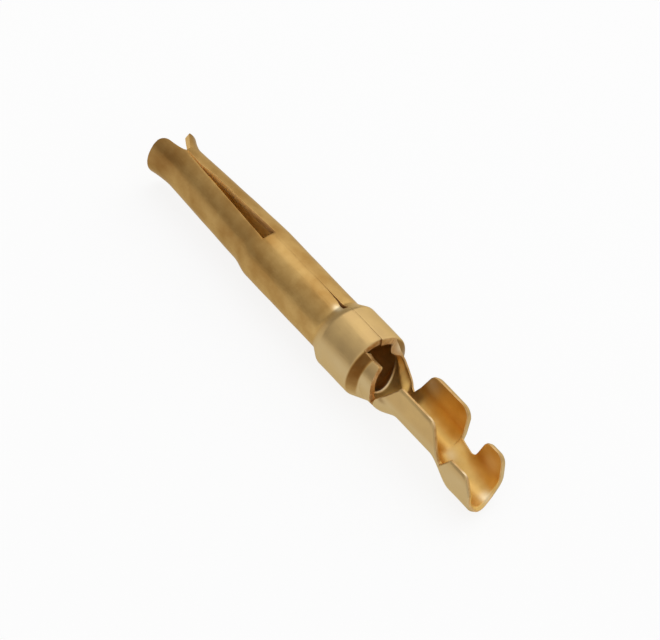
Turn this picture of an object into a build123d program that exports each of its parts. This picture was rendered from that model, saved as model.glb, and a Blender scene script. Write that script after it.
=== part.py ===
from build123d import *

import math
import os

# Crimp socket contact, rolled and formed from one strip of sheet metal.
# X runs along the contact: the tines point to -X and the wire enters from +X.
# The origin is on the axis, in the middle of the collar, and Z points to the seam and to the open
# side of the crimp wings. Lengths are in mm and angles in degrees.

# Sheet and bends
SHEET = 0.20
BEND = 0.07

# Rolled body: outer radii, and lengths along X
BARREL_RADIUS = 0.97
COLLAR_RADIUS = 1.20
NECK_RADIUS = 0.90
BARREL_LENGTH = 3.56
RAMP_LENGTH = 0.43
COLLAR_LENGTH = 1.44
SHOULDER_LENGTH = 0.36
NECK_LENGTH = 0.60

# Seam where the rolled edges meet, and the notch where the ramp spreads them
SEAM_GAP = 0.03
SEAM_NOTCH_WIDTH = 0.12
SEAM_NOTCH_LENGTH = 0.30

# Open throat behind the collar, and the slit that frees the neck from the wire barrel
THROAT_HALF_ANGLE = 31.5
NECK_EDGE_SLANT = 0.34
SLIT_WIDTH = 0.10
SLIT_FLOOR_Z = -0.50

# Socket: two tines, bent in towards each other and flared at the mouth
TINE_LENGTH = 5.42
TINE_BEND_IN = 0.25
STEPPED_TINE_OFFSET = 0.14
STEP_LENGTH = 0.45
MOUTH_LENGTH = 0.95
MOUTH_FLARE = 0.13
SLOT_WIDTH = 0.58
SLOT_TURN = 10.0
TIP_TAPER = 0.16
TIP_CORNER = 0.30
LEAD_LENGTH = 0.86
LEAD_WIDTH = 0.57

# Wire barrel: U section with two wings
WIRE_HALF_WIDTH = 0.79
WIRE_FLOOR_Z = -0.53
WIRE_TOP_Z = 1.09
WIRE_FOOT_Z = -0.10
WIRE_FOOT_LENGTH = 0.20
WIRE_WING_RISE = 0.80
WIRE_TOP_LENGTH = 1.78
WIRE_WING_FALL = 0.30
WIRE_CORNER = 0.32
WIRE_REAR_CORNER = 0.45

# Insulation barrel: wider and deeper U section with two shorter wings
GRIP_HALF_WIDTH = 0.865
GRIP_FLOOR_Z = -1.07
GRIP_TOP_Z = 0.60
NOTCH_Z = -0.28
NOTCH_LENGTH = 0.34
NOTCH_CORNER = 0.16
GRIP_WING_RISE = 0.55
GRIP_TOP_LENGTH = 0.50
GRIP_WING_FALL = 0.26
GRIP_SHOULDER_Z = -0.15
GRIP_END_RUN = 0.10
GRIP_CORNER = 0.22

# Depth by which a tine's root lies inside the barrel's wall
ROOT_INSET = 0.01
# Room that a cutting shape takes beyond what it cuts
CLEAR = 1.0
# Flat bands that make up each smooth change of section
BANDS = 6

# Stations that follow from the lengths
collar_rear = COLLAR_LENGTH / 2
collar_front = -COLLAR_LENGTH / 2
ramp_front = collar_front - RAMP_LENGTH
slot_root = ramp_front - BARREL_LENGTH
tine_root = slot_root + SHEET
tine_tip = slot_root - TINE_LENGTH
waist = tine_tip + MOUTH_LENGTH
half_gap = SLOT_WIDTH / 2 - TINE_BEND_IN
shoulder_rear = collar_rear + SHOULDER_LENGTH
neck_rear = shoulder_rear + NECK_LENGTH
slit_rear = neck_rear + SLIT_WIDTH
wire_front = slit_rear + WIRE_FOOT_LENGTH
wire_top_front = wire_front + WIRE_WING_RISE
wire_top_rear = wire_top_front + WIRE_TOP_LENGTH
notch_front = wire_top_rear + WIRE_WING_FALL
notch_rear = notch_front + NOTCH_LENGTH
grip_top_front = notch_rear + GRIP_WING_RISE
grip_top_rear = grip_top_front + GRIP_TOP_LENGTH
grip_shoulder = grip_top_rear + GRIP_WING_FALL
grip_end = grip_shoulder + GRIP_END_RUN


def smooth(share):
    """An S curve from 0 to 1."""
    share = min(max(share, 0.0), 1.0)
    return share * share * (3 - 2 * share)


def side_view(outline):
    """A closed outline in X and Z, drawn out across the whole contact along Y."""
    return extrude(Plane.XZ * make_face(outline), COLLAR_RADIUS + CLEAR, both=True)


def rolled_body():
    """Barrel, ramp, collar, rear shoulder and neck: one wall of sheet turned about X."""
    wall = Polyline(
        (slot_root, BARREL_RADIUS),
        (ramp_front, BARREL_RADIUS),
        (collar_front, COLLAR_RADIUS),
        (collar_rear, COLLAR_RADIUS),
        (shoulder_rear, NECK_RADIUS),
        (neck_rear, NECK_RADIUS),
    )
    section = make_face(offset(wall, amount=SHEET, side=Side.RIGHT, kind=Kind.INTERSECTION))
    bends = section.vertices().filter_by(lambda corner: slot_root < corner.X < neck_rear)
    return revolve(fillet(bends, BEND), Axis.X)


def seam():
    """The hairline between the rolled edges, with a slot where the ramp spreads them."""
    length = collar_rear + CLEAR - slot_root
    height = COLLAR_RADIUS + CLEAR
    line = Pos(slot_root + length / 2, 0, height / 2) * Box(length, SEAM_GAP, height)
    notch = extrude(SlotOverall(SEAM_NOTCH_LENGTH, SEAM_NOTCH_WIDTH), height)
    return line + Pos(ramp_front, 0, 0) * notch


def throat():
    """The open top behind the collar, where the neck is a ring with a gap."""
    height = COLLAR_RADIUS + CLEAR
    reach = height * math.tan(math.radians(THROAT_HALF_ANGLE))
    wedge = make_face(Polyline((0, 0), (reach, height), (-reach, height), close=True))
    return Pos(collar_rear, 0, 0) * extrude(Plane.YZ * wedge, neck_rear + CLEAR)


def neck_edges():
    """What lies behind the slanted rear edges of the neck, above the foot of the wings."""
    high = NECK_RADIUS + CLEAR
    edge_top = neck_rear - NECK_EDGE_SLANT
    return side_view(
        Polyline(
            (neck_rear, WIRE_FOOT_Z),
            (edge_top, NECK_RADIUS),
            (edge_top, high),
            (neck_rear + CLEAR, high),
            (neck_rear + CLEAR, WIRE_FOOT_Z),
            close=True,
        )
    )


def wall_slice(x, radius, side, bend_in):
    """A cross section of a tine: rolled wall on one side, between the straight edges of the slots."""

    def place(reach, half_slot):
        top_z = math.sqrt(reach**2 - half_slot**2)
        y = side * (half_slot - bend_in)
        return Vector(x, y, top_z), Vector(x, side * (reach - bend_in), 0), Vector(x, y, -top_z)

    top_outer, side_outer, low_outer = place(radius, SLOT_WIDTH / 2)
    top_inner, side_inner, low_inner = place(radius - SHEET, SLOT_WIDTH / 2)
    outline = [
        Edge.make_three_point_arc(top_outer, side_outer, low_outer),
        Edge.make_line(low_outer, low_inner),
        Edge.make_three_point_arc(low_inner, side_inner, top_inner),
        Edge.make_line(top_inner, top_outer),
    ]
    return Face(Wire(outline))


def tine(side, step):
    """Half a socket shell on the side of +Y or -Y: its step at the root, its taper and its bell mouth."""
    radius = BARREL_RADIUS - ROOT_INSET
    slices = [
        wall_slice(tine_root, radius, side, ROOT_INSET),
        wall_slice(slot_root, radius, side, ROOT_INSET),
        wall_slice(slot_root - STEP_LENGTH, radius, side, step),
        wall_slice(waist, radius, side, TINE_BEND_IN),
    ]
    for band in range(1, BANDS + 1):
        share = band / BANDS
        x = waist - MOUTH_LENGTH * share
        slices.append(wall_slice(x, radius + MOUTH_FLARE * share**2, side, TINE_BEND_IN))
    return loft(slices, ruled=True) & tip_outline(side)


def tip_outline(side):
    """The view of a tine across its slots: tapered from the waist on, with rounded corners at the tip."""
    outer_line = side * (BARREL_RADIUS + MOUTH_FLARE + CLEAR)
    tip = FilletPolyline(
        (tine_root, 0),
        (waist, 0),
        (tine_tip, side * (half_gap + TIP_TAPER)),
        (tine_tip, outer_line),
        radius=TIP_CORNER,
    )
    back = Polyline((tine_tip, outer_line), (tine_root, outer_line), (tine_root, 0))
    return extrude(make_face([tip, back]), COLLAR_RADIUS + CLEAR, both=True)


def lead_in():
    """What the slanted tip of the tine on the +Y side leaves free, on its upper edge only."""
    slope = LEAD_WIDTH / LEAD_LENGTH
    corner = Polyline(
        (tine_tip - CLEAR, half_gap + LEAD_WIDTH + CLEAR * slope),
        (tine_tip + LEAD_LENGTH, half_gap),
        (tine_tip + LEAD_LENGTH, 0),
        (tine_tip - CLEAR, 0),
        close=True,
    )
    return extrude(make_face(corner), COLLAR_RADIUS + CLEAR)


def socket():
    """Both tines, with a slot between them above and another below."""
    plain = tine(-1, STEPPED_TINE_OFFSET)
    slanted = tine(1, ROOT_INSET) - lead_in()
    return plain + slanted


def u_section(x, half_width, floor_z, top_z):
    """A solid U: half a circle below, straight sides up to the top."""
    centre_z = floor_z + half_width
    left = Vector(x, -half_width, centre_z)
    right = Vector(x, half_width, centre_z)
    outline = [
        Edge.make_three_point_arc(left, Vector(x, 0, floor_z), right),
        Edge.make_line(right, Vector(x, half_width, top_z)),
        Edge.make_line(Vector(x, half_width, top_z), Vector(x, -half_width, top_z)),
        Edge.make_line(Vector(x, -half_width, top_z), left),
    ]
    return Face(Wire(outline))


def channel_size(x):
    """Half width and floor height of the channel's outer surface at a station."""
    to_wire = smooth((x - slit_rear) / (wire_top_front - slit_rear))
    to_grip = smooth((x - wire_top_rear) / (grip_top_front - wire_top_rear))
    half_width = NECK_RADIUS + (WIRE_HALF_WIDTH - NECK_RADIUS) * to_wire
    half_width += (GRIP_HALF_WIDTH - WIRE_HALF_WIDTH) * to_grip
    floor_z = -NECK_RADIUS + (WIRE_FLOOR_Z + NECK_RADIUS) * to_wire
    floor_z += (GRIP_FLOOR_Z - WIRE_FLOOR_Z) * to_grip
    return half_width, floor_z


def channel(inset, top_z):
    """The solid below a U surface that lies the given depth inside the channel's outer one."""
    stations = [neck_rear]
    for first, last in ((slit_rear, wire_top_front), (wire_top_rear, grip_top_front)):
        stations += [first + (last - first) * band / BANDS for band in range(BANDS + 1)]
    stations.append(grip_end)
    sections = []
    for x in stations:
        half_width, floor_z = channel_size(x)
        sections.append(u_section(x, half_width - inset, floor_z + inset, top_z))
    return loft(sections, ruled=True)


def wing_outline():
    """Side view of the channel: the wings of both barrels and the notch between them."""
    bottom = -COLLAR_RADIUS - CLEAR
    end_top = GRIP_FLOOR_Z + SHEET
    wings = FilletPolyline(
        (neck_rear, SLIT_FLOOR_Z),
        (slit_rear, SLIT_FLOOR_Z),
        (wire_front, WIRE_FOOT_Z),
        (wire_top_front, WIRE_TOP_Z),
        (wire_top_rear, WIRE_TOP_Z),
        (notch_front, NOTCH_Z),
        (notch_rear, NOTCH_Z),
        (grip_top_front, GRIP_TOP_Z),
        (grip_top_rear, GRIP_TOP_Z),
        (grip_shoulder, GRIP_SHOULDER_Z),
        (grip_end, end_top),
        radius=[
            SLIT_WIDTH / 4,
            SLIT_WIDTH,
            WIRE_CORNER,
            WIRE_REAR_CORNER,
            NOTCH_CORNER,
            NOTCH_CORNER,
            GRIP_CORNER,
            GRIP_CORNER,
            GRIP_CORNER,
        ],
    )
    below = Polyline((grip_end, end_top), (grip_end, bottom), (neck_rear, bottom), (neck_rear, SLIT_FLOOR_Z))
    return [wings, below]


def crimp():
    """Wire barrel and insulation barrel, one open channel of sheet with shaped wings."""
    high = WIRE_TOP_Z + CLEAR
    shell = channel(0, high) - channel(SHEET, high + CLEAR)
    return shell & side_view(wing_outline())


def contact():
    """The whole contact, one folded sheet, its slots turned a little from the seam."""
    body = rolled_body() - throat() - seam() - neck_edges()
    return body + crimp() + Rot(X=SLOT_TURN) * socket()


os.makedirs("parts", exist_ok=True)
export_step(contact(), "parts/socket_contact.step")
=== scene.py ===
"""Looks of a crimp socket contact: one strip of brass, stamped, rolled and gold plated.

The sheet is one closed mesh of its outer skin, its inner skin and its sheared edges. X runs from
the tines to the wire end and Z points up to the seam. Lengths are in millimetres until the mesh is
handed to Blender in metres. Angles are in degrees from straight down towards the side of the half
that they are on.
"""

import logging
import math
from dataclasses import astuple, dataclass, field
from enum import Enum, IntEnum

import bmesh
import bpy
import numpy as np
from mathutils import Matrix, Vector


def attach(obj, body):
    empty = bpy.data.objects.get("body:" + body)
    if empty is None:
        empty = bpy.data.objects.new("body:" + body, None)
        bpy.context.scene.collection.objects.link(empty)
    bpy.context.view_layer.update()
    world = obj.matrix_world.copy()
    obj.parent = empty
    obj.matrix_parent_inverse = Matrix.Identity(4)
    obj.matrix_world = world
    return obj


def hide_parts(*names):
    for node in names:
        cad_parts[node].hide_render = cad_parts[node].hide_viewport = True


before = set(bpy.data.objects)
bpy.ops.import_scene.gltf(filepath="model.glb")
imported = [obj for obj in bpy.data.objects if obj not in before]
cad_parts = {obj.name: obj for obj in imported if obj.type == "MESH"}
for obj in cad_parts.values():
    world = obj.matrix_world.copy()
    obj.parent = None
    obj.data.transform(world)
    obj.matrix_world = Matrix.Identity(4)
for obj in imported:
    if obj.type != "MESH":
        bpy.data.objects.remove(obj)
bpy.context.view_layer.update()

log = logging.getLogger("contact")

MM = 0.001
"""Metres in a millimetre."""

SLACK = 1e-6
"""How far apart two stations may be and still count as one."""

Table = tuple[tuple[float, float], ...]
"""Stations along X and the value at each."""

Lead = tuple[float, float, float]
"""A tine's edge along the mouth: distance at the waist, what the mouth adds, power of the curve."""

Corner = tuple[float, float, float]
"""A corner of an outline seen from the side: x, z and radius."""

Colour = tuple[float, float, float, float]
"""Linear red, green, blue and alpha."""

Shares = tuple[float, float, float]
# Shares of tarnish and painted shade, of paler tone and of painted highlight at a point, 0 to 1.
"""How tarnished, rubbed and polished the metal is at a point, each from 0 to 1."""

Key = tuple[int, int, int]
"""A place in the mesh: side, or 0 along the bottom, then row and column."""


class Side(IntEnum):
    """The two halves of the sheet, as signs of Y."""

    NEAR = -1
    FAR = 1


class Skin(IntEnum):
    """Material slots of the sheet's mesh."""

    OUTER = 0
    INNER = 1
    SHEARED = 2


class Look(Enum):
    """How a pattern is stretched over the metal."""

    CLOUDY = (1.0, 1.0, 1.0)
    DRAWN = (0.12, 1.0, 1.0)


def smooth(share: float) -> float:
    """An S curve from 0 to 1, for a share that is first held between them."""
    share = min(max(share, 0.0), 1.0)
    return share * share * (3.0 - 2.0 * share)


def rise(value: float, start: float, end: float) -> float:
    """An S curve from 0 at the start to 1 at the end, which may lie on either side of the start."""
    return smooth((value - start) / (end - start))


def eased(x: float, table: Table, reach: float, samples: int, limits: tuple[float, float]) -> float:
    """Reads a table with its corners eased.

    Args:
        x: the station.
        table: stations and values.
        reach: how far to either side of the station the value is averaged.
        samples: number of places in that average.
        limits: first and last station that count.

    Returns:
        The value.
    """
    xs, values = zip(*table)
    around = np.clip(np.linspace(x - reach, x + reach, samples), *limits)
    return float(np.mean(np.interp(around, xs, values)))


def linear(hex_colour: str) -> Colour:
    """Turns an sRGB hex colour into Blender's linear colour.

    Args:
        hex_colour: such as "#C9A566".

    Returns:
        The linear colour.
    """
    channels = [int(hex_colour[i : i + 2], 16) / 255.0 for i in (1, 3, 5)]
    low, knee, power = 12.92, 0.04045, 2.4
    turned = [c / low if c <= knee else ((c + 0.055) / 1.055) ** power for c in channels]
    return (turned[0], turned[1], turned[2], 1.0)


def rounded(corners: list[Corner], step: float) -> np.ndarray:
    """Rounds the corners of an open outline.

    Args:
        corners: the corners in order; the two ends have radius 0.
        step: spacing of the points along the result.

    Returns:
        An array of x and z along the rounded outline.
    """
    path: list[np.ndarray] = [np.array(corners[0][:2])]
    for before, corner, after in zip(corners, corners[1:], corners[2:]):
        at, radius = np.array(corner[:2]), corner[2]
        back, ahead = np.array(before[:2]) - at, np.array(after[:2]) - at
        back /= np.linalg.norm(back)
        ahead /= np.linalg.norm(ahead)
        half = math.acos(float(np.clip(back @ ahead, -1.0, 1.0))) / 2.0
        reach = radius / math.tan(half)
        centre = at + (back + ahead) / np.linalg.norm(back + ahead) * radius / math.sin(half)
        start, end = at + back * reach - centre, at + ahead * reach - centre
        turn = math.pi - 2.0 * half
        for share in np.linspace(0.0, 1.0, max(3, int(turn * radius / step) + 2)):
            arc = math.sin((1 - share) * turn) * start + math.sin(share * turn) * end
            path.append(centre + arc / math.sin(turn))
    path.append(np.array(corners[-1][:2]))
    dense: list[np.ndarray] = [path[0]]
    for a, b in zip(path, path[1:]):
        count = max(1, int(np.linalg.norm(b - a) / step))
        dense += [a + (b - a) * i / count for i in range(1, count + 1)]
    return np.array(dense)


@dataclass(frozen=True)
class Sheet:
    """The strip that the contact is made of, its edges coined thin and tumbled round."""

    thickness: float = 0.20
    edge_round: float = 0.013
    edge_segments: int = 2
    coined: float = 0.66
    coined_width: float = 0.10
    neck_coined_width: float = 0.50

    def thinned(self, from_edge: float, width: float) -> float:
        """What coining takes from the thickness at a distance from the edge, over a given width."""
        return self.thickness * self.coined * smooth(1.0 - from_edge / width)


@dataclass(frozen=True)
class Tine:
    """One spring tine, its upper edge given by distances from the plane between the tines."""

    bend_in: float
    mouth_length: float
    mouth_flare: float
    upper_edge: Table
    upper_lead: Lead
    tip_corner: float
    root_step: float = 0.0
    tip_slant: float = 0.0


@dataclass
class Socket:
    """Two spring tines, bent in towards each other, with a bell mouth."""

    sheet: Sheet
    root: float = -4.79
    waist: float = -9.18
    tip: float = -10.13
    radius: float = 0.97
    half_slot: float = 0.285
    turn: float = 10.0
    step_length: float = 0.80
    bend_power: float = 1.1
    flare_power: float = 1.7
    edge_easing: float = 0.15
    edge_samples: int = 7
    slant_angles: tuple[float, float] = (150.0, 100.0)
    lower_lead: Lead = (0.03, 0.16, 1.4)
    # Distances of the first rows of the mesh from the tip, and numbers of rows after them
    tip_rows: tuple[float, ...] = (0.0, 0.02, 0.05, 0.09, 0.14, 0.20, 0.26, 0.32, 0.38)
    mouth_rows: int = 11
    blade_rows: int = 52
    root_rows: int = 10
    root_length: float = 0.4
    tines: dict[Side, Tine] = field(
        default_factory=lambda: {
            Side.NEAR: Tine(
                bend_in=0.265,
                mouth_length=0.95,
                mouth_flare=0.125,
                upper_edge=(
                    (-9.18, 0.012), (-8.2, 0.075), (-6.25, 0.160), (-5.15, 0.215), (-4.79, 0.250),
                ),
                upper_lead=(0.012, 0.25, 0.7),
                tip_corner=0.32,
                root_step=0.12,
            ),
            Side.FAR: Tine(
                bend_in=0.285,
                mouth_length=0.70,
                mouth_flare=0.17,
                upper_edge=(
                    (-9.18, 0.0), (-8.35, 0.01), (-7.75, 0.12),
                    (-6.4, 0.165), (-5.65, 0.205), (-4.79, 0.250),
                ),
                upper_lead=(0.16, 0.43, 1.0),
                tip_corner=0.05,
                tip_slant=0.12,
            ),
        }
    )

    def stations(self) -> list[float]:
        """Lays out the rows of the mesh.

        Returns:
            Stations from the tip to the root, without the root's own row.
        """
        *end, mouth_front = (self.tip + distance for distance in self.tip_rows)
        root_front = self.root - self.root_length
        mouth = list(np.linspace(mouth_front, self.waist, self.mouth_rows))
        blade = list(np.linspace(self.waist, root_front, self.blade_rows))[1:]
        step = list(np.linspace(root_front, self.root, self.root_rows))[1:-1]
        return end + mouth + blade + step

    def along(self, x: float, side: Side) -> float:
        """A tine's own station for a row of the mesh, as the two mouths differ in length."""
        stretch = self.tines[side].mouth_length / (self.waist - self.tip)
        return self.waist + (x - self.waist) * (stretch if x < self.waist else 1.0)

    def inward(self, x: float, side: Side) -> float:
        """How far a tine is bent in.

        Args:
            x: station of the row.
            side: which tine.

        Returns:
            The distance from where the barrel's wall would be.
        """
        tine = self.tines[side]
        share = min(max((self.root - x) / (self.root - self.waist), 0.0), 1.0)
        step = tine.root_step * smooth((self.root - x) / self.step_length)
        return step + (tine.bend_in - tine.root_step) * share**self.bend_power

    def past_waist(self, x: float, side: Side) -> float:
        """Share of the mouth that lies between the waist and a station."""
        past = (self.waist - self.along(x, side)) / self.tines[side].mouth_length
        return min(max(past, 0.0), 1.0)

    def flared(self, x: float, side: Side) -> float:
        """Radius of a tine's outer skin at a station, with the bell mouth."""
        opened = self.past_waist(x, side) ** self.flare_power
        return self.radius + self.tines[side].mouth_flare * opened

    def edge_line(self, x: float, side: Side, upper: bool) -> float:
        """Finds a tine's edge.

        Args:
            x: station of the row.
            side: which tine.
            upper: whether it is the tine's upper edge.

        Returns:
            Distance of the edge from the plane between the tines.
        """
        tine = self.tines[side]
        past = self.past_waist(x, side)
        if past > 0.0:
            start, added, power = tine.upper_lead if upper else self.lower_lead
            line = start + added * past**power
        elif upper:
            limits = (self.waist, self.root)
            line = eased(x, tine.upper_edge, self.edge_easing, self.edge_samples, limits)
        else:
            share = (self.root - x) / (self.root - self.waist)
            line = self.half_slot + (self.lower_lead[0] - self.half_slot) * share
        corner = tine.tip_corner
        from_tip = (1.0 - past) * tine.mouth_length
        if from_tip < corner:
            line += corner - math.sqrt(corner**2 - (corner - from_tip) ** 2)
        return line

    def span(self, x: float, side: Side) -> tuple[float, float]:
        """Angles between which a tine's wall lies.

        Args:
            x: station of the row.
            side: which tine.

        Returns:
            Angles of its lower and upper edge, before the slots are turned.
        """
        radius, inward = self.flared(x, side), self.inward(x, side)
        low, high = (
            math.degrees(math.asin(min((self.edge_line(x, side, upper) + inward) / radius, 1.0)))
            for upper in (False, True)
        )
        return low, 180.0 - high

    def point(self, x: float, side: Side, angle: float, inner: bool) -> np.ndarray:
        """Places a point of a tine.

        Args:
            x: station of the row.
            side: which tine.
            angle: its angle before the slots are turned.
            inner: whether the point is on the inner skin.

        Returns:
            The point.
        """
        a, turn = math.radians(angle), math.radians(self.turn)
        radius = self.flared(x, side) - (self.sheet.thickness if inner else 0.0)
        y = side * (radius * math.sin(a) - self.inward(x, side))
        z = -radius * math.cos(a)
        slant = self.tines[side].tip_slant * self.past_waist(x, side)
        x_end = self.along(x, side) + slant * rise(angle, *self.slant_angles)
        y_turned = y * math.cos(turn) - z * math.sin(turn)
        return np.array((x_end, y_turned, y * math.sin(turn) + z * math.cos(turn)))


@dataclass
class RolledBody:
    """Barrel, ramp, collar, shoulder and neck, with the seam and the open throat."""

    sheet: Sheet
    front: float = -4.79
    ramp_front: float = -1.15
    collar_front: float = -0.72
    rear: float = 1.68
    barrel_radius: float = 0.97
    collar_radius: float = 1.20
    neck_radius: float = 0.90
    bend: float = 0.05
    bend_samples: int = 9
    throat_angle: dict[Side, float] = field(
        default_factory=lambda: {Side.NEAR: 145.5, Side.FAR: 148.5}
    )
    throat_front: dict[Side, float] = field(
        default_factory=lambda: {Side.NEAR: 0.77, Side.FAR: 0.82}
    )
    # The shoulder closes down further back along the bottom than on the flanks
    shoulder_side: float = 1.08
    shoulder_base: float = 1.42
    shoulder_base_radius: float = 0.93
    base_angles: tuple[float, float] = (88.0, 28.0)
    # Ridge where the shoulder's inner skin meets the neck
    ridge_side: dict[Side, float] = field(
        default_factory=lambda: {Side.NEAR: 1.00, Side.FAR: 0.94}
    )
    ridge_base: float = 1.24
    ridge_angle: float = 100.0
    ridge_height: float = 0.035
    ridge_width: float = 0.045
    # Lip that the inner skin has at the near edge of the throat, in degrees, and where it ends
    near_lip: float = 8.0
    lip_angle: float = 90.0
    lip_rear: float = 1.40
    lip_fade: tuple[float, float] = (0.06, 0.12)
    far_coined: tuple[float, float] = (1.02, 1.12)
    # Half gap of the seam, which opens into a V in front of the collar
    seam: dict[Side, Table] = field(
        default_factory=lambda: {
            Side.NEAR: (
                (-4.8, 0.001), (-2.6, 0.001), (-1.9, 0.016), (-1.4, 0.05),
                (-0.97, 0.150), (-0.91, 0.002), (0.8, 0.006),
            ),
            Side.FAR: (
                (-4.8, 0.001), (-2.6, 0.001), (-1.9, 0.004), (-1.4, 0.01),
                (-0.97, 0.015), (-0.91, 0.002), (0.8, 0.006),
            ),
        }
    )
    # Angles from straight up that the neck's edge has behind the throat's front
    neck_edge: dict[Side, Table] = field(
        default_factory=lambda: {
            Side.NEAR: ((1.38, 34.5), (1.45, 37.0), (1.52, 55.0), (1.61, 77.0), (1.68, 92.0)),
            Side.FAR: (
                (0.88, 31.5), (1.0, 43.0), (1.14, 63.0), (1.31, 81.0), (1.49, 92.0), (1.68, 101.0),
            ),
        }
    )

    def stations(self) -> list[float]:
        """Lays out the rows of the mesh, close together where the seam opens and at the throat.

        Returns:
            Stations from the slots' root to the rear of the neck.
        """
        notch_front, notch_rear = self.ramp_front - 0.60, self.ramp_front + 0.31
        near, far = self.throat_front[Side.NEAR], self.throat_front[Side.FAR]
        beside = 0.03
        # Where each stretch starts and ends, and its number of rows
        stretches = (
            (notch_front, notch_rear, 30),
            (notch_rear, self.collar_front + 0.10, 9),
            (self.collar_front + 0.10, near - beside, 18),
        )
        found = list(np.linspace(self.front, notch_front, 34))
        for first, last, count in stretches:
            found += list(np.linspace(first, last, count))[1:]
        found += [near, (near + far) / 2.0, far, far + beside]
        return found + list(np.linspace(far + beside, self.rear, 32))[1:]

    def radius_at(self, x: float, xs: tuple[float, ...], radii: tuple[float, ...]) -> float:
        """Radius at a station, with the outline's corners eased over a bend's length."""
        limits = (self.front, self.rear)
        return eased(x, tuple(zip(xs, radii)), self.bend, self.bend_samples, limits)

    def outer_radius(self, x: float, side: Side, angle: float) -> float:
        """Radius of the outer skin.

        Args:
            x: station.
            side: half of the sheet.
            angle: angle on that half.

        Returns:
            The radius.
        """
        low = rise(angle, *self.base_angles)
        rear = self.shoulder_side + (self.shoulder_base - self.shoulder_side) * low
        neck = self.neck_radius + (self.shoulder_base_radius - self.neck_radius) * low
        barrel, collar = self.barrel_radius, self.collar_radius
        xs = (self.front, self.ramp_front, self.collar_front, self.throat_front[side])
        xs += (rear, self.rear + self.bend)
        return self.radius_at(x, xs, (barrel, barrel, collar, collar, neck, self.neck_radius))

    def ridge(self, side: Side, angle: float) -> float:
        """Station of the bend that closes the inner skin down to the neck."""
        share = rise(angle, self.ridge_angle, 0.0)
        return self.ridge_side[side] + (self.ridge_base - self.ridge_side[side]) * share

    def inner_radius(self, x: float, side: Side, angle: float) -> float:
        """Radius of the inner skin, with the bead along its ridge.

        Args:
            x: station.
            side: half of the sheet.
            angle: angle on that half.

        Returns:
            The radius.
        """
        thickness, ridge = self.sheet.thickness, self.ridge(side, angle)
        xs = (self.front, self.ramp_front + self.bend, self.collar_front + self.bend)
        xs += (self.throat_front[side] - self.bend, ridge, self.rear + self.bend)
        outer = (self.barrel_radius, self.collar_radius, self.neck_radius)
        bore, collar, neck = (radius - thickness for radius in outer)
        bead = self.ridge_height * math.exp(-(((x - ridge) / self.ridge_width) ** 2))
        return self.radius_at(x, xs, (bore, bore, collar, collar, neck, neck)) - bead

    def edge_angle(self, x: float, side: Side) -> float:
        """Angle of the sheet's upper edge, at the seam or on the neck.

        Args:
            x: station.
            side: half of the sheet.

        Returns:
            The angle.
        """
        if x <= self.throat_front[side] + SLACK:
            xs, gaps = zip(*self.seam[side])
            return 180.0 - math.degrees(float(np.interp(x, xs, gaps)) / self.barrel_radius)
        xs, angles = zip(*self.neck_edge[side])
        return 180.0 - float(np.interp(x, xs, angles))

    def lip(self, x: float, side: Side, angle: float) -> float:
        """How much further round the inner skin reaches at the near edge of the throat.

        Args:
            x: station.
            side: half of the sheet.
            angle: angle on that half.

        Returns:
            The angle to add.
        """
        front = self.throat_front[side]
        if side is Side.FAR or x <= front or angle < self.lip_angle:
            return 0.0
        start, end = self.lip_fade
        share = rise(x, self.lip_rear + end, self.lip_rear) * rise(x, front, front + start)
        share *= (angle - self.lip_angle) / (self.throat_angle[side] - self.lip_angle)
        return self.near_lip * share

    def point(self, x: float, side: Side, angle: float, inner: bool) -> np.ndarray:
        """Places a point of the rolled body.

        Args:
            x: station.
            side: half of the sheet.
            angle: angle on that half.
            inner: whether the point is on the inner skin.

        Returns:
            The point.
        """
        if inner:
            from_edge = math.radians(self.edge_angle(x, side) - angle) * self.neck_radius
            formed = rise(x, *self.far_coined) if side is Side.FAR else 0.0
            radius = self.inner_radius(x, side, angle)
            radius += formed * self.sheet.thinned(from_edge, self.sheet.neck_coined_width)
            angle += self.lip(x, side, angle)
        else:
            radius = self.outer_radius(x, side, angle)
        a = math.radians(angle)
        return np.array((x, side * radius * math.sin(a), -radius * math.cos(a)))


@dataclass(frozen=True)
class WingShape:
    """Corners of one half's wings in their order from the neck to the end, seen from the side."""

    front: Corner
    slit: Corner
    foot: Corner
    wire_front: Corner
    wire_rear: Corner
    notch_front: Corner
    notch_rear: Corner
    grip_front: Corner
    grip_rear: Corner
    grip_shoulder: Corner

    def outline(self, end: tuple[float, float], step: float) -> np.ndarray:
        """The wings' rounded edge as x and z, from the neck to the given end."""
        return rounded([*astuple(self), (*end, 0.0)], step)


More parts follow.
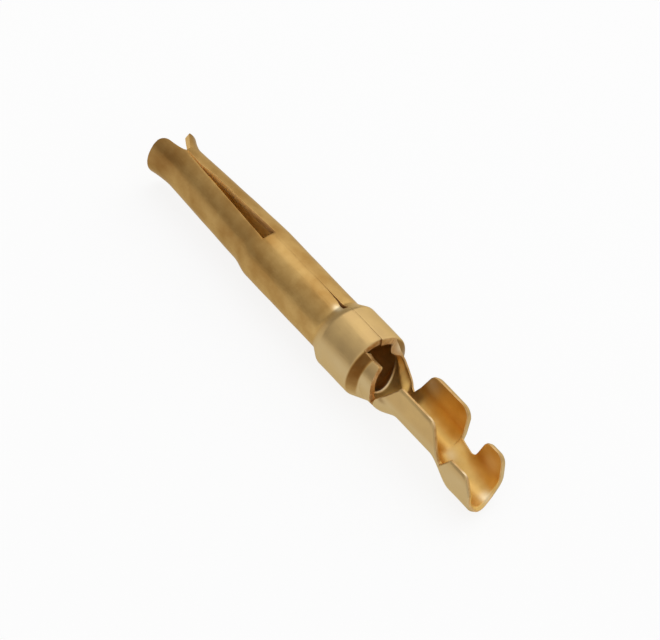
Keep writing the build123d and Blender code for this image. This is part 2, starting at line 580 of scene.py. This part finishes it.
@dataclass
class Crimp:
    """Wire barrel and insulation barrel: one open channel with two pairs of wings."""

    sheet: Sheet
    front: float = 1.68
    slit_rear: float = 1.78
    end: float = 6.61
    neck_radius: float = 0.90
    wire_half_width: float = 0.79
    wire_floor: float = -0.53
    wire_span: tuple[float, float] = (2.78, 4.45)
    grip_half_width: float = 0.865
    grip_floor: float = -1.07
    grip_front: float = 5.70
    # Lengths behind the slit and behind the neck over which the wings' own coining takes over
    wing_coined_over: float = 0.5
    neck_coined_over: float = 0.6
    # The rear end is cut off a little askew: how far it moves at either end of its section
    skew_from: float = 5.8
    skew: tuple[float, float] = (0.13, -0.13)
    skew_span: tuple[float, float] = (-0.35, 0.55)
    outline_step: float = 0.045
    row_step: float = 0.020
    last_row: float = 0.025
    shapes: dict[Side, WingShape] = field(
        default_factory=lambda: {
            Side.NEAR: WingShape(
                front=(1.68, -0.50, 0.0),
                slit=(1.78, -0.50, 0.03),
                foot=(1.93, -0.06, 0.12),
                wire_front=(2.74, 1.09, 0.14),
                wire_rear=(4.37, 1.09, 0.30),
                notch_front=(4.98, -0.20, 0.05),
                notch_rear=(5.06, -0.20, 0.05),
                grip_front=(5.53, 0.49, 0.15),
                grip_rear=(6.24, 0.50, 0.16),
                grip_shoulder=(6.53, -0.10, 0.22),
            ),
            Side.FAR: WingShape(
                front=(1.68, -0.172, 0.0),
                slit=(1.88, -0.35, 0.10),
                foot=(2.10, -0.36, 0.08),
                wire_front=(2.76, 1.09, 0.42),
                wire_rear=(4.53, 1.09, 0.40),
                notch_front=(4.55, -0.08, 0.14),
                notch_rear=(5.19, -0.38, 0.14),
                grip_front=(5.50, 0.60, 0.28),
                grip_rear=(6.37, 0.60, 0.40),
                grip_shoulder=(6.51, -0.15, 0.20),
            ),
        }
    )

    def __post_init__(self) -> None:
        """Works out the wings' outlines."""
        end = (self.end, self.grip_floor + self.sheet.thickness)
        self.outlines = {
            side: shape.outline(end, self.outline_step) for side, shape in self.shapes.items()
        }

    def stations(self) -> list[float]:
        """Lays out the rows of the mesh, close together where either outline is steep.

        Returns:
            Stations from just behind the neck to the end.
        """
        found = [self.front]
        for x in sorted(float(x) for outline in self.outlines.values() for x in outline[:, 0]):
            if x - found[-1] > self.row_step and x < self.end - self.last_row:
                found.append(x)
        return found[1:] + [self.end]

    def size(self, x: float) -> tuple[float, float]:
        """Size of the channel's section.

        Args:
            x: station.

        Returns:
            Half width and floor height of the outer skin.
        """
        wire_front, wire_rear = self.wire_span
        to_wire = rise(x, self.slit_rear, wire_front)
        to_grip = rise(x, wire_rear, self.grip_front)
        half_width = self.neck_radius + (self.wire_half_width - self.neck_radius) * to_wire
        half_width += (self.grip_half_width - self.wire_half_width) * to_grip
        floor = -self.neck_radius + (self.wire_floor + self.neck_radius) * to_wire
        return half_width, floor + (self.grip_floor - self.wire_floor) * to_grip

    def reach(self, x: float, side: Side) -> float:
        """Length of the section on one half.

        Args:
            x: station.
            side: half of the sheet.

        Returns:
            The length from its lowest line to the wing's edge, in quarter turns.
        """
        half_width, floor = self.size(x)
        xs, zs = self.outlines[side].T
        above = float(np.interp(x, xs, zs)) - (floor + half_width)
        if above <= 0.0:
            return math.degrees(math.acos(min(-above / half_width, 1.0))) / 90.0
        return 1.0 + above / (math.pi / 2.0 * half_width)

    def depth(self, x: float, side: Side, from_edge: float, inner: bool) -> float:
        """Depth of a skin below the full outer surface, where the edges are coined thin.

        Args:
            x: station.
            side: half of the sheet.
            from_edge: distance from the wing's edge.
            inner: whether it is the inner skin.

        Returns:
            The depth.
        """
        sheet = self.sheet
        share = rise(x, self.slit_rear, self.slit_rear + self.wing_coined_over)
        thinned = share * sheet.thinned(from_edge, sheet.coined_width)
        end = sheet.thinned(self.end - x, sheet.coined_width) / 2.0
        if side is Side.NEAR:
            depth = sheet.thickness - thinned / 2.0 if inner else thinned / 2.0
        elif inner:
            # The far wings are coined from outside, so that from inside only a thin edge shows
            neck = rise(x, self.front + self.neck_coined_over, self.front)
            depth = sheet.thickness - neck * sheet.thinned(from_edge, sheet.neck_coined_width)
        else:
            depth = thinned
        return min(depth, sheet.thickness - end) if inner else max(depth, end)

    def point(self, x: float, side: Side, share: float, inner: bool) -> np.ndarray:
        """Places a point of the channel.

        Args:
            x: station.
            side: half of the sheet.
            share: place along the section, from 0 at its lowest line to 1 at the wing's edge.
            inner: whether the point is on the inner skin.

        Returns:
            The point.
        """
        half_width, floor = self.size(x)
        centre = floor + half_width
        reach = self.reach(x, side)
        quarter = share * reach
        from_edge = (reach - quarter) * math.pi / 2.0 * half_width
        radius = half_width - self.depth(x, side, from_edge, inner)
        low, high = self.skew
        cut = low + (high - low) * rise(side * quarter, *self.skew_span)
        x += cut * rise(x, self.skew_from, self.end)
        if quarter <= 1.0:
            a = math.radians(90.0 * quarter)
            return np.array((x, side * radius * math.sin(a), centre - radius * math.cos(a)))
        above = (quarter - 1.0) * math.pi / 2.0 * half_width
        return np.array((x, side * radius, centre + above))


@dataclass(frozen=True)
class Spot:
    """A mark that fades out around its middle, given by two coordinates and its reach in each."""

    middle: tuple[float, float]
    reach: tuple[float, float]
    strength: float = 1.0

    def share(self, *at: float) -> float:
        """How strong the mark is at a place."""
        off = [(a - middle) / reach for a, middle, reach in zip(at, self.middle, self.reach)]
        return self.strength * math.exp(-(off[0] ** 2) - off[1] ** 2)


@dataclass
class WearAndPaintedLight:
    """Marks that forming, tumbling and use leave on the sheet, and its painted shade and
    highlights.
    """

    body: RolledBody
    # Tarnish that grows towards the tines' tips: share, and stations where it starts and is full
    tarnish: tuple[tuple[float, float, float], ...] = (
        (0.14, -1.15, -1.55),
        (0.21, -4.04, -5.54),
        (0.25, -8.78, -9.58),
    )
    # Painted shade behind the collar: where it starts, how sharply it ends, on which angles
    groove_shade_front: tuple[float, float] = (0.01, 0.05)
    groove_shade_rear: float = 0.03
    groove_shade_angles: tuple[float, float] = (45.0, 80.0)
    groove_shade_flanks: tuple[float, float] = (70.0, 110.0)
    groove_shade_least: float = 0.65
    # The collar and what is behind it are paler, less so along the top
    paler_over: float = 0.3
    paler_angles: tuple[float, float] = (100.0, 120.0)
    paler_loss: float = 0.5
    # A painted glint by station and angle, a painted shade spot by station and height, near half
    painted_glint: Spot = Spot((-1.12, 166.0), (0.16, 7.0))
    painted_shade_spot: Spot = Spot((2.15, 0.12), (0.16, 0.09), 0.6)
    # Inside the neck: a painted highlight along the ridge and painted shade on the skin behind it
    ridge_highlight_reach: float = 0.06
    neck_shade: float = 0.35
    neck_shade_front: float = 0.2
    neck_shade_rear: tuple[float, float] = (0.1, 0.3)
    # Inside the socket, where the pin slides
    mated: float = 0.6
    mated_over: float = 2.0
    # Places on the inner skin and the edges with painted highlights: x, y, z and reach
    painted_glints: tuple[tuple[float, float, float, float], ...] = (
        (4.66, 0.09, -0.60, 0.22),
        (6.42, 0.22, -0.81, 0.20),
        (4.22, -0.75, 1.05, 0.16),
        (6.20, -0.80, 0.48, 0.14),
        (1.00, 0.62, 0.72, 0.20),
        (1.50, -0.78, 0.45, 0.18),
        (5.88, 0.66, 0.00, 0.30),
        (2.85, 0.62, 0.62, 0.30),
    )

    def shares(self, x: float, y: float, z: float, skin: int) -> Shares:
        """Wear, painted shade and painted highlights at a point.

        Args:
            x: its station.
            y: its distance from the middle plane.
            z: its height.
            skin: which skin it is on.

        Returns:
            The shares.
        """
        angle = math.degrees(math.atan2(abs(y), -z))
        side = Side.FAR if y > 0 else Side.NEAR
        if skin == Skin.OUTER:
            return self.outside(x, z, side, angle)
        in_neck = self.body.throat_front[side] < x < self.body.rear
        if skin == Skin.INNER and in_neck and math.hypot(y, z) < self.body.neck_radius:
            return self.inside_neck(x, side, angle)
        # Painted highlights at the listed places; inside the socket the skin is paler where the pin
        # slides
        off = min(math.dist((x, y, z), glint_spot[:3]) / glint_spot[3] for glint_spot in self.painted_glints)
        mated = rise(x, self.body.front, self.body.front - self.mated_over)
        return 0.0, self.mated * mated, math.exp(-(off**2))

    def outside(self, x: float, z: float, side: Side, angle: float) -> Shares:
        """Tarnish, paleness, painted shade and a painted glint of the outer skin.

        Args:
            x: station.
            z: height.
            side: half of the sheet.
            angle: angle on that half.

        Returns:
            The shares.
        """
        body = self.body
        starts, full = (body.throat_front[side] + distance for distance in self.groove_shade_front)
        shoulder = body.shoulder_side
        # Painted shade in the groove behind the collar, kept off the bottom
        groove_shade = rise(x, starts, full)
        groove_shade *= rise(x, shoulder + self.groove_shade_rear, shoulder - self.groove_shade_rear)
        groove_shade *= rise(angle, *self.groove_shade_angles)
        groove_shade *= self.groove_shade_least + (1.0 - self.groove_shade_least) * rise(angle, *self.groove_shade_flanks)
        # The collar and what is behind it are made paler, less so along the top, not where the
        # groove shade lies
        rubbed = rise(x, body.ramp_front, body.ramp_front + self.paler_over)
        rubbed *= 1.0 - self.paler_loss * rise(angle, *self.paler_angles)
        tines = sum(share * rise(x, start, end) for share, start, end in self.tarnish)
        near = side is Side.NEAR
        # A painted shade spot and a painted glint on the near half
        tarnished = max(groove_shade, tines, self.painted_shade_spot.share(x, z) * near)
        return tarnished, max(rubbed - 2.0 * groove_shade, 0.0), self.painted_glint.share(x, angle) * near

    def inside_neck(self, x: float, side: Side, angle: float) -> Shares:
        """Painted highlight and painted shade of the inner skin behind the throat's front.

        Args:
            x: station.
            side: half of the sheet.
            angle: angle on that half.

        Returns:
            The shares.
        """
        front = self.body.throat_front[side]
        behind, before = self.neck_shade_rear
        # Painted shade behind the ridge, and a painted highlight along the ridge
        neck_shade = self.neck_shade * rise(x, front, front + self.neck_shade_front)
        neck_shade *= rise(x, self.body.rear + behind, self.body.rear - before)
        off = (x - self.body.ridge(side, angle)) / self.ridge_highlight_reach
        return neck_shade, 0.0, math.exp(-off * off)


def add_node(
    tree: bpy.types.NodeTree,
    kind: str,
    settings: dict[str | int, object],
    links: dict[str | int, bpy.types.NodeSocket],
) -> bpy.types.Node:
    """Adds a node with its settings and links.

    Args:
        tree: the node tree of a material or of the world.
        kind: the node's type name.
        settings: attribute or input and its value.
        links: input and the output socket that feeds it.

    Returns:
        The new node.
    """
    node = tree.nodes.new(kind)
    for key, value in settings.items():
        if isinstance(key, str) and hasattr(node, key):
            setattr(node, key, value)
        else:
            node.inputs[key].default_value = value
    for key, socket in links.items():
        tree.links.new(socket, node.inputs[key])
    return node


@dataclass(frozen=True)
class MetalFinish:
    """A metal's look: colour, clouds, gloss, wear, painted shade and highlights, marks of its
    making.

    Rolling leaves lines that lie about a hundredth of a millimetre apart. That is too fine to show
    in the render, so they are drawn coarser, line_mm apart. The clouds keep the size of the patches
    that tumbling leaves.
    """

    name: str
    pale: str
    deep: str
    # Colour for tarnish and for painted shade
    tarnish: str
    # Colour of the paler patches
    paler_colour: str
    # Colour of the painted highlights
    polish: str
    edge_tint: str
    roughness: float
    roughness_spread: float
    cloud_mm: float
    line_mm: float
    bump_um: float
    coat: float = 0.0
    coat_roughness: float = 0.4
    detail: float = 4.0
    grain: float = 0.55
    colour_span: tuple[float, float] = (0.34, 0.66)
    overlay_span: tuple[float, float] = (0.30, 0.70)
    least_overlay: float = 0.72

    def material(self) -> bpy.types.Material:
        """Builds the procedural material.

        Returns:
            The material, named after the finish.
        """
        made = bpy.data.materials.new(self.name)
        made.use_nodes = True
        tree = made.node_tree
        tree.nodes.clear()
        place = add_node(tree, "ShaderNodeTexCoord", {}, {}).outputs["Object"]
        patterns = []
        for size_mm, look in ((self.cloud_mm, Look.CLOUDY), (self.line_mm, Look.DRAWN)):
            laid = add_node(tree, "ShaderNodeMapping", {"Scale": look.value}, {"Vector": place})
            per_metre = 1.0 / (size_mm * MM)
            settings = {"Scale": per_metre, "Detail": self.detail, "Roughness": self.grain}
            links = {"Vector": laid.outputs["Vector"]}
            patterns.append(add_node(tree, "ShaderNodeTexNoise", settings, links).outputs["Fac"])
        clouds, lines = patterns
        spread = self.roughness_spread
        spreads = []
        for (low, high), start, end in (
            (self.colour_span, 0.0, 1.0),
            (self.overlay_span, self.least_overlay, 1.0),
            (self.overlay_span, self.roughness + spread, self.roughness - spread),
        ):
            settings = {"From Min": low, "From Max": high, "To Min": start, "To Max": end}
            ranged = add_node(tree, "ShaderNodeMapRange", settings, {"Value": clouds})
            spreads.append(ranged.outputs["Result"])
        cloudy, uneven, gloss = spreads
        settings = {"data_type": "RGBA", 6: linear(self.pale), 7: linear(self.deep)}
        colour = add_node(tree, "ShaderNodeMix", settings, {0: cloudy}).outputs[2]
        # Tarnish and painted shade, paler patches and painted highlights, over the cloudy colour
        overlays = (("rubbed", self.paler_colour), ("tarnished", self.tarnish), ("polished", self.polish))
        for attribute, shade in overlays:
            share = add_node(tree, "ShaderNodeAttribute", {"attribute_name": attribute}, {})
            links = {0: share.outputs["Fac"], 1: uneven}
            part = add_node(tree, "ShaderNodeMath", {"operation": "MULTIPLY"}, links)
            settings = {"data_type": "RGBA", 7: linear(shade)}
            links = {0: part.outputs["Value"], 6: colour}
            colour = add_node(tree, "ShaderNodeMix", settings, links).outputs[2]
        settings = {"Strength": 1.0, "Distance": self.bump_um * MM * MM}
        bump = add_node(tree, "ShaderNodeBump", settings, {"Height": lines})
        settings = {
            "Metallic": 1.0,
            "Specular Tint": linear(self.edge_tint),
            "Coat Weight": self.coat,
            "Coat Roughness": self.coat_roughness,
        }
        links = {"Base Color": colour, "Roughness": gloss, "Normal": bump.outputs["Normal"]}
        shader = add_node(tree, "ShaderNodeBsdfPrincipled", settings, links)
        add_node(tree, "ShaderNodeOutputMaterial", {}, {"Surface": shader.outputs["BSDF"]})
        return made


FINISHES: dict[Skin, MetalFinish] = {
    # Gold plating over rolled brass, tumbled satin: wide soft highlights, an olive cast, a little
    # cloudy, with a thin dull film over it
    Skin.OUTER: MetalFinish(
        name="gold_plating_tumbled",
        pale="#C6A263",
        deep="#AB8347",
        tarnish="#6E4415",
        paler_colour="#C6AD7E",
        polish="#FBEBC4",
        edge_tint="#F0E3C4",
        roughness=0.36,
        roughness_spread=0.05,
        cloud_mm=0.9,
        line_mm=0.10,
        bump_um=5.0,
        coat=0.10,
    ),
    # Gold plating inside the roll, where tumbling hardly reaches: brighter, and painted brighter
    # still as painted light, so that it deepens to amber in its own reflections
    Skin.INNER: MetalFinish(
        name="gold_plating_bright",
        pale="#EBC77E",
        deep="#D9AE60",
        tarnish="#7A4F1C",
        paler_colour="#F3D596",
        polish="#F7E3BC",
        edge_tint="#F0D090",
        roughness=0.46,
        roughness_spread=0.05,
        cloud_mm=0.8,
        line_mm=0.12,
        bump_um=2.0,
    ),
    # Brass sheared in the die: bare, paler and slightly torn, so it shows as a soft rim
    Skin.SHEARED: MetalFinish(
        name="brass_sheared",
        pale="#E0BE88",
        deep="#BD9256",
        tarnish="#7A4F1C",
        paler_colour="#F3D596",
        polish="#F7E3BC",
        edge_tint="#F3DDB0",
        roughness=0.58,
        roughness_spread=0.06,
        cloud_mm=0.3,
        line_mm=0.05,
        bump_um=5.0,
    ),
}


@dataclass
class ContactSheet:
    """The whole contact: the socket, the rolled body and the crimp in one sheet."""

    sheet: Sheet
    socket: Socket
    body: RolledBody
    crimp: Crimp
    slit_angle: float = 56.25
    # Columns from the bottom to the tine's lower edge, the slit, the throat's edge, the tine's
    # upper edge and the seam
    columns: dict[Side, tuple[int, ...]] = field(
        default_factory=lambda: {Side.NEAR: (4, 32, 36, 2, 8), Side.FAR: (10, 14, 40, 9, 3)}
    )
    # Height of the swells, as a share of the radius
    swell: float = 0.0035

    def __post_init__(self) -> None:
        """Works out the mesh's rows and columns."""
        self._rows = self.socket.stations() + self.body.stations() + self.crimp.stations()
        self._wear_and_light = WearAndPaintedLight(self.body)
        self._angles: dict[Side, list[float]] = {}
        self._ends: dict[Side, list[int]] = {}
        for side in Side:
            turn = self.socket.turn * side
            low, high = self.socket.span(self.socket.root, side)
            throat = self.body.throat_angle[side]
            bounds = (0.0, low + turn, self.slit_angle, throat, high + turn, 180.0)
            angles, ends = [0.0], []
            for first, last, count in zip(bounds, bounds[1:], self.columns[side]):
                angles += [first + (last - first) * (i + 1) / count for i in range(count)]
                ends.append(len(angles) - 1)
            self._angles[side], self._ends[side] = angles, ends

    def crimp_end(self, side: Side) -> int:
        """Last column of the crimp: the near half is slit from the neck, the far one isn't."""
        return self._ends[side][1 if side is Side.NEAR else 2]

    def place(self, x: float, side: Side, column: int, inner: bool) -> np.ndarray:
        """Places a point of the sheet by row and column.

        Args:
            x: station of the row.
            side: half of the sheet.
            column: column of the mesh.
            inner: whether the point is on the inner skin.

        Returns:
            The point, in mm.
        """
        angles, ends = self._angles[side], self._ends[side]
        if x < self.body.front - SLACK:
            first, last = angles[ends[0]], angles[ends[3]]
            low, high = self.socket.span(x, side)
            angle = low + (high - low) * (angles[column] - first) / (last - first)
            return self.socket.point(x, side, angle, inner)
        if x <= self.body.rear + SLACK:
            return self.body.point(x, side, self.body_angle(x, side, column), inner)
        return self.crimp.point(x, side, angles[column] / angles[self.crimp_end(side)], inner)

    def body_angle(self, x: float, side: Side, column: int) -> float:
        """Angle of a column on the rolled body, drawn in where the sheet's edge is lower.

        Args:
            x: station of the row.
            side: half of the sheet.
            column: column of the mesh.

        Returns:
            The angle.
        """
        angles, ends = self._angles[side], self._ends[side]
        edge = self.body.edge_angle(x, side)
        front = self.body.throat_front[side]
        throat = x > front + SLACK
        fixed, last = (ends[1], ends[2]) if throat else (ends[3], ends[4])
        angle = angles[column]
        if column > fixed:
            share = (angles[column] - angles[fixed]) / (angles[last] - angles[fixed])
            angle = angles[fixed] + (edge - angles[fixed]) * share
        if side is Side.FAR and throat:
            even = angles[column] * edge / angles[last]
            angle += (even - angle) * rise(x, front, self.body.rear)
        return angle

    def quads(self, side: Side) -> list[tuple[Key, ...]]:
        """Lays out the skin's quads on one half, leaving out the slots, the throat and the slit.

        Args:
            side: half of the sheet.

        Returns:
            The four keys of each quad.
        """
        ends = self._ends[side]
        found = []
        for row, (x, x_next) in enumerate(zip(self._rows, self._rows[1:])):
            middle = (x + x_next) / 2.0
            first, last = 0, self.crimp_end(side)
            if middle < self.body.front:
                first, last = ends[0], ends[3]
            elif middle < self.body.throat_front[side]:
                last = ends[4]
            elif middle < self.body.rear:
                last = ends[2]
            for column in range(first, last):
                after, beside = row + 1, column + 1
                corners = ((row, column), (after, column), (after, beside), (row, beside))
                found.append(tuple((0 if c == 0 else int(side), r, c) for r, c in corners))
        return found

    def uneven(self, point: np.ndarray) -> np.ndarray:
        """Moves a point by the small swells that forming and tumbling leave in the sheet.

        Args:
            point: the point of a true surface.

        Returns:
            The point moved.
        """
        x, y, z = point
        # Long waves and, over them, short lower ones
        wave = math.sin(2.1 * x + 3.3 * y) * math.cos(1.7 * x - 2.9 * z)
        wave += 0.6 * math.sin(5.3 * x - 4.1 * z + 1.0) * math.cos(4.7 * y + 0.6 * x)
        return point + np.array((0.0, y, z)) * self.swell * wave

    def build(self, finishes: dict[Skin, MetalFinish]) -> bpy.types.Object:
        """Builds the closed mesh with rounded edges and dresses it.

        Args:
            finishes: a finish for each skin.

        Returns:
            The contact's object, in metres.
        """
        mesh = bmesh.new()
        verts: dict[tuple[Key, bool], bmesh.types.BMVert] = {}

        def vertex(key: Key, inner: bool) -> bmesh.types.BMVert:
            """Finds or makes the vertex of a skin.

            Args:
                key: its side, row and column.
                inner: whether it is on the inner skin.

            Returns:
                The vertex.
            """
            if (key, inner) not in verts:
                side = Side.NEAR if key[0] < 0 else Side.FAR
                point = self.place(self._rows[key[1]], side, key[2], inner)
                verts[key, inner] = mesh.verts.new(self.uneven(point))
            return verts[key, inner]

        rims: dict[frozenset[Key], tuple[Key, Key]] = {}
        for side in Side:
            for quad in self.quads(side):
                ring = quad if side is Side.FAR else tuple(reversed(quad))
                mesh.faces.new([vertex(key, False) for key in ring]).material_index = Skin.OUTER
                under = [vertex(key, True) for key in reversed(ring)]
                mesh.faces.new(under).material_index = Skin.INNER
                for ends in zip(ring, ring[1:] + ring[:1]):
                    if rims.pop(frozenset(ends), None) is None:
                        rims[frozenset(ends)] = ends
        corners = []
        for a, b in rims.values():
            outer, inner = (vertex(b, False), vertex(a, False)), (vertex(a, True), vertex(b, True))
            mesh.faces.new([*outer, *inner]).material_index = Skin.SHEARED
            corners += [mesh.edges.get(outer), mesh.edges.get(inner)]
        bmesh.ops.recalc_face_normals(mesh, faces=mesh.faces)
        bmesh.ops.bevel(
            mesh,
            geom=corners,
            offset=self.sheet.edge_round,
            segments=self.sheet.edge_segments,
            profile=0.5,
            affect="EDGES",
            clamp_overlap=True,
        )
        return self.dress(mesh, finishes)

    def dress(
        self, mesh: bmesh.types.BMesh, finishes: dict[Skin, MetalFinish]
    ) -> bpy.types.Object:
        """Gives a mesh its wear, painted shade and highlights and finishes; hands it to Blender in
        metres.

        Args:
            mesh: the closed mesh, in mm.
            finishes: a finish for each skin.

        Returns:
            The contact's object.
        """
        # Per vertex: tarnish and painted shade, paler patches, and painted highlights
        layers = [mesh.verts.layers.float.new(n) for n in ("tarnished", "rubbed", "polished")]
        for vert in mesh.verts:
            skin = max(face.material_index for face in vert.link_faces)
            for layer, share in zip(layers, self._wear_and_light.shares(*vert.co, skin)):
                vert[layer] = share
        for face in mesh.faces:
            face.smooth = True
        bmesh.ops.scale(mesh, vec=(MM, MM, MM), verts=mesh.verts)
        data = bpy.data.meshes.new("contact_sheet")
        mesh.to_mesh(data)
        mesh.free()
        made = bpy.data.objects.new("contact_sheet", data)
        bpy.context.scene.collection.objects.link(made)
        for skin in Skin:
            data.materials.append(finishes[skin].material())
        return made


@dataclass(frozen=True)
class Lamp:
    """A soft square lamp that faces the contact: name, place and side in mm, power in watts."""

    name: str
    place: tuple[float, float, float]
    size: float
    power: float

    def add(self) -> None:
        """Adds the lamp to the scene."""
        data = bpy.data.lights.new(self.name, "AREA")
        data.size = self.size * MM
        data.energy = self.power
        made = bpy.data.objects.new(self.name, data)
        bpy.context.scene.collection.objects.link(made)
        spot = Vector(self.place)
        made.location = spot * MM
        made.rotation_mode = "QUATERNION"
        made.rotation_quaternion = spot.to_track_quat("Z", "Y")


@dataclass
class Studio:
    """Pale floor, soft lamps and the camera."""

    floor_z: float = -1.21
    floor_half_width_m: float = 0.6
    paper_white: float = 0.9
    # Share of the floor's own white that is seen, beside its shadows
    glow: float = 0.85
    # The room's brightness at the walls and above, and how high up it is full
    room: tuple[float, float] = (0.40, 0.90)
    room_top: float = 0.9
    image: tuple[int, int] = (660, 640)
    px_per_mm: float = 31.8
    distance: float = 250.0
    sensor: float = 36.0
    clip_m: tuple[float, float] = (0.01, 5.0)
    # Where the photograph shows the origin and which way it shows the contact's axis
    origin_px: tuple[float, float] = (359.5, 350.2)
    slope: tuple[float, float] = (0.69533, 0.71869)
    # Degrees between the contact's axis and the line to the viewer, of the climb above the far side
    # and of the roll about that line
    to_viewer: float = 61.0
    climb: float = 38.5
    roll: float = 0.35
    lamps: tuple[Lamp, ...] = (
        Lamp("overhead", (-60.0, 32.0, 107.0), 90.0, 0.019),
        Lamp("back_fill", (-20.0, 115.0, 40.0), 120.0, 0.034),
        Lamp("front_fill", (60.0, -102.0, 63.0), 120.0, 0.016),
    )

    def camera(self) -> bpy.types.Object:
        """Sets the camera at the photograph's viewing angle.

        Returns:
            The camera.
        """
        angles = (self.to_viewer, self.climb, self.roll)
        turn, climb, roll = (math.radians(angle) for angle in angles)
        axis = np.array((1.0, 0.0, 0.0))
        aside = np.array((0.0, math.cos(climb), math.sin(climb)))
        above = np.array((0.0, -math.sin(climb), math.cos(climb)))
        toward = math.cos(turn) * axis + math.sin(turn) * above
        shown, across = math.sin(turn) * axis - math.cos(turn) * above, -aside
        shown, across = (
            shown * math.cos(roll) - across * math.sin(roll),
            shown * math.sin(roll) + across * math.cos(roll),
        )
        slope_x, slope_y = self.slope
        right = slope_x * shown - slope_y * across
        down = slope_y * shown + slope_x * across
        width, height = self.image
        data = bpy.data.cameras.new("camera")
        data.sensor_width = self.sensor
        data.lens = self.sensor * self.px_per_mm * self.distance / width
        data.clip_start, data.clip_end = self.clip_m
        off_x = (width / 2 - self.origin_px[0]) / self.px_per_mm
        off_y = (height / 2 - self.origin_px[1]) / self.px_per_mm
        place = toward * self.distance + right * off_x + down * off_y
        made = bpy.data.objects.new("camera", data)
        bpy.context.scene.collection.objects.link(made)
        facing = Matrix(tuple(zip(right, -down, toward))).to_4x4()
        made.matrix_world = Matrix.Translation(Vector(place) * MM) @ facing
        bpy.context.scene.camera = made
        return made

    def floor(self) -> bpy.types.Object:
        """Adds the pale floor.

        Returns:
            The floor.
        """
        mesh = bmesh.new()
        bmesh.ops.create_grid(mesh, x_segments=1, y_segments=1, size=self.floor_half_width_m)
        data = bpy.data.meshes.new("floor")
        mesh.to_mesh(data)
        mesh.free()
        made = bpy.data.objects.new("floor", data)
        made.location.z = self.floor_z * MM
        bpy.context.scene.collection.objects.link(made)
        data.materials.append(self.paper())
        return made

    def paper(self) -> bpy.types.Material:
        """White paper, which looks white where it is seen and keeps part of the contact's shadow.

        Returns:
            The material.
        """
        made = bpy.data.materials.new("white_paper")
        made.use_nodes = True
        tree = made.node_tree
        tree.nodes.clear()
        rays = add_node(tree, "ShaderNodeLightPath", {}, {}).outputs
        seen = rays["Is Camera Ray"]
        for kind in ("Is Glossy Ray", "Is Transmission Ray"):
            links = {0: seen, 1: rays[kind]}
            either = add_node(tree, "ShaderNodeMath", {"operation": "MAXIMUM"}, links)
            seen = either.outputs["Value"]
        settings = {"operation": "MULTIPLY", 1: self.glow}
        share = add_node(tree, "ShaderNodeMath", settings, {0: seen})
        white = (self.paper_white, self.paper_white, self.paper_white, 1.0)
        matt = add_node(tree, "ShaderNodeBsdfDiffuse", {"Color": white}, {})
        glow = add_node(tree, "ShaderNodeEmission", {"Strength": 1.0}, {})
        links = {0: share.outputs["Value"], 1: matt.outputs["BSDF"], 2: glow.outputs["Emission"]}
        mix = add_node(tree, "ShaderNodeMixShader", {}, links)
        add_node(tree, "ShaderNodeOutputMaterial", {}, {"Surface": mix.outputs["Shader"]})
        return made

    def world(self) -> None:
        """Sets a plain grey room, lighter above than at its walls."""
        world = bpy.data.worlds.new("room")
        bpy.context.scene.world = world
        world.use_nodes = True
        tree = world.node_tree
        tree.nodes.clear()
        place = add_node(tree, "ShaderNodeTexCoord", {}, {}).outputs["Generated"]
        split = add_node(tree, "ShaderNodeSeparateXYZ", {}, {"Vector": place})
        low, high = self.room
        settings = {"From Min": 0.0, "From Max": self.room_top, "To Min": low, "To Max": high}
        ramp = add_node(tree, "ShaderNodeMapRange", settings, {"Value": split.outputs["Z"]})
        links = {"Strength": ramp.outputs["Result"]}
        back = add_node(tree, "ShaderNodeBackground", {"Color": (1.0, 1.0, 1.0, 1.0)}, links)
        add_node(tree, "ShaderNodeOutputWorld", {}, {"Surface": back.outputs["Background"]})

    def light(self) -> None:
        """Sets the room and the lamps."""
        self.world()
        for lamp in self.lamps:
            lamp.add()


def main() -> None:
    """Builds the contact and its studio, and reports each piece."""
    logging.basicConfig(level=logging.INFO, format="%(message)s")
    bpy.context.scene.view_settings.view_transform = "Standard"
    sheet = Sheet()
    contact = ContactSheet(sheet, Socket(sheet), RolledBody(sheet), Crimp(sheet))
    piece = contact.build(FINISHES)
    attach(piece, "root")
    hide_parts("socket_contact")
    log.info("contact_sheet: %d faces", len(piece.data.polygons))
    studio = Studio()
    studio.floor()
    log.info("floor: %.2f mm below the axis", -studio.floor_z)
    studio.light()
    log.info("lamps: %s", ", ".join(lamp.name for lamp in studio.lamps))
    studio.camera()


if __name__ == "__main__":
    main()
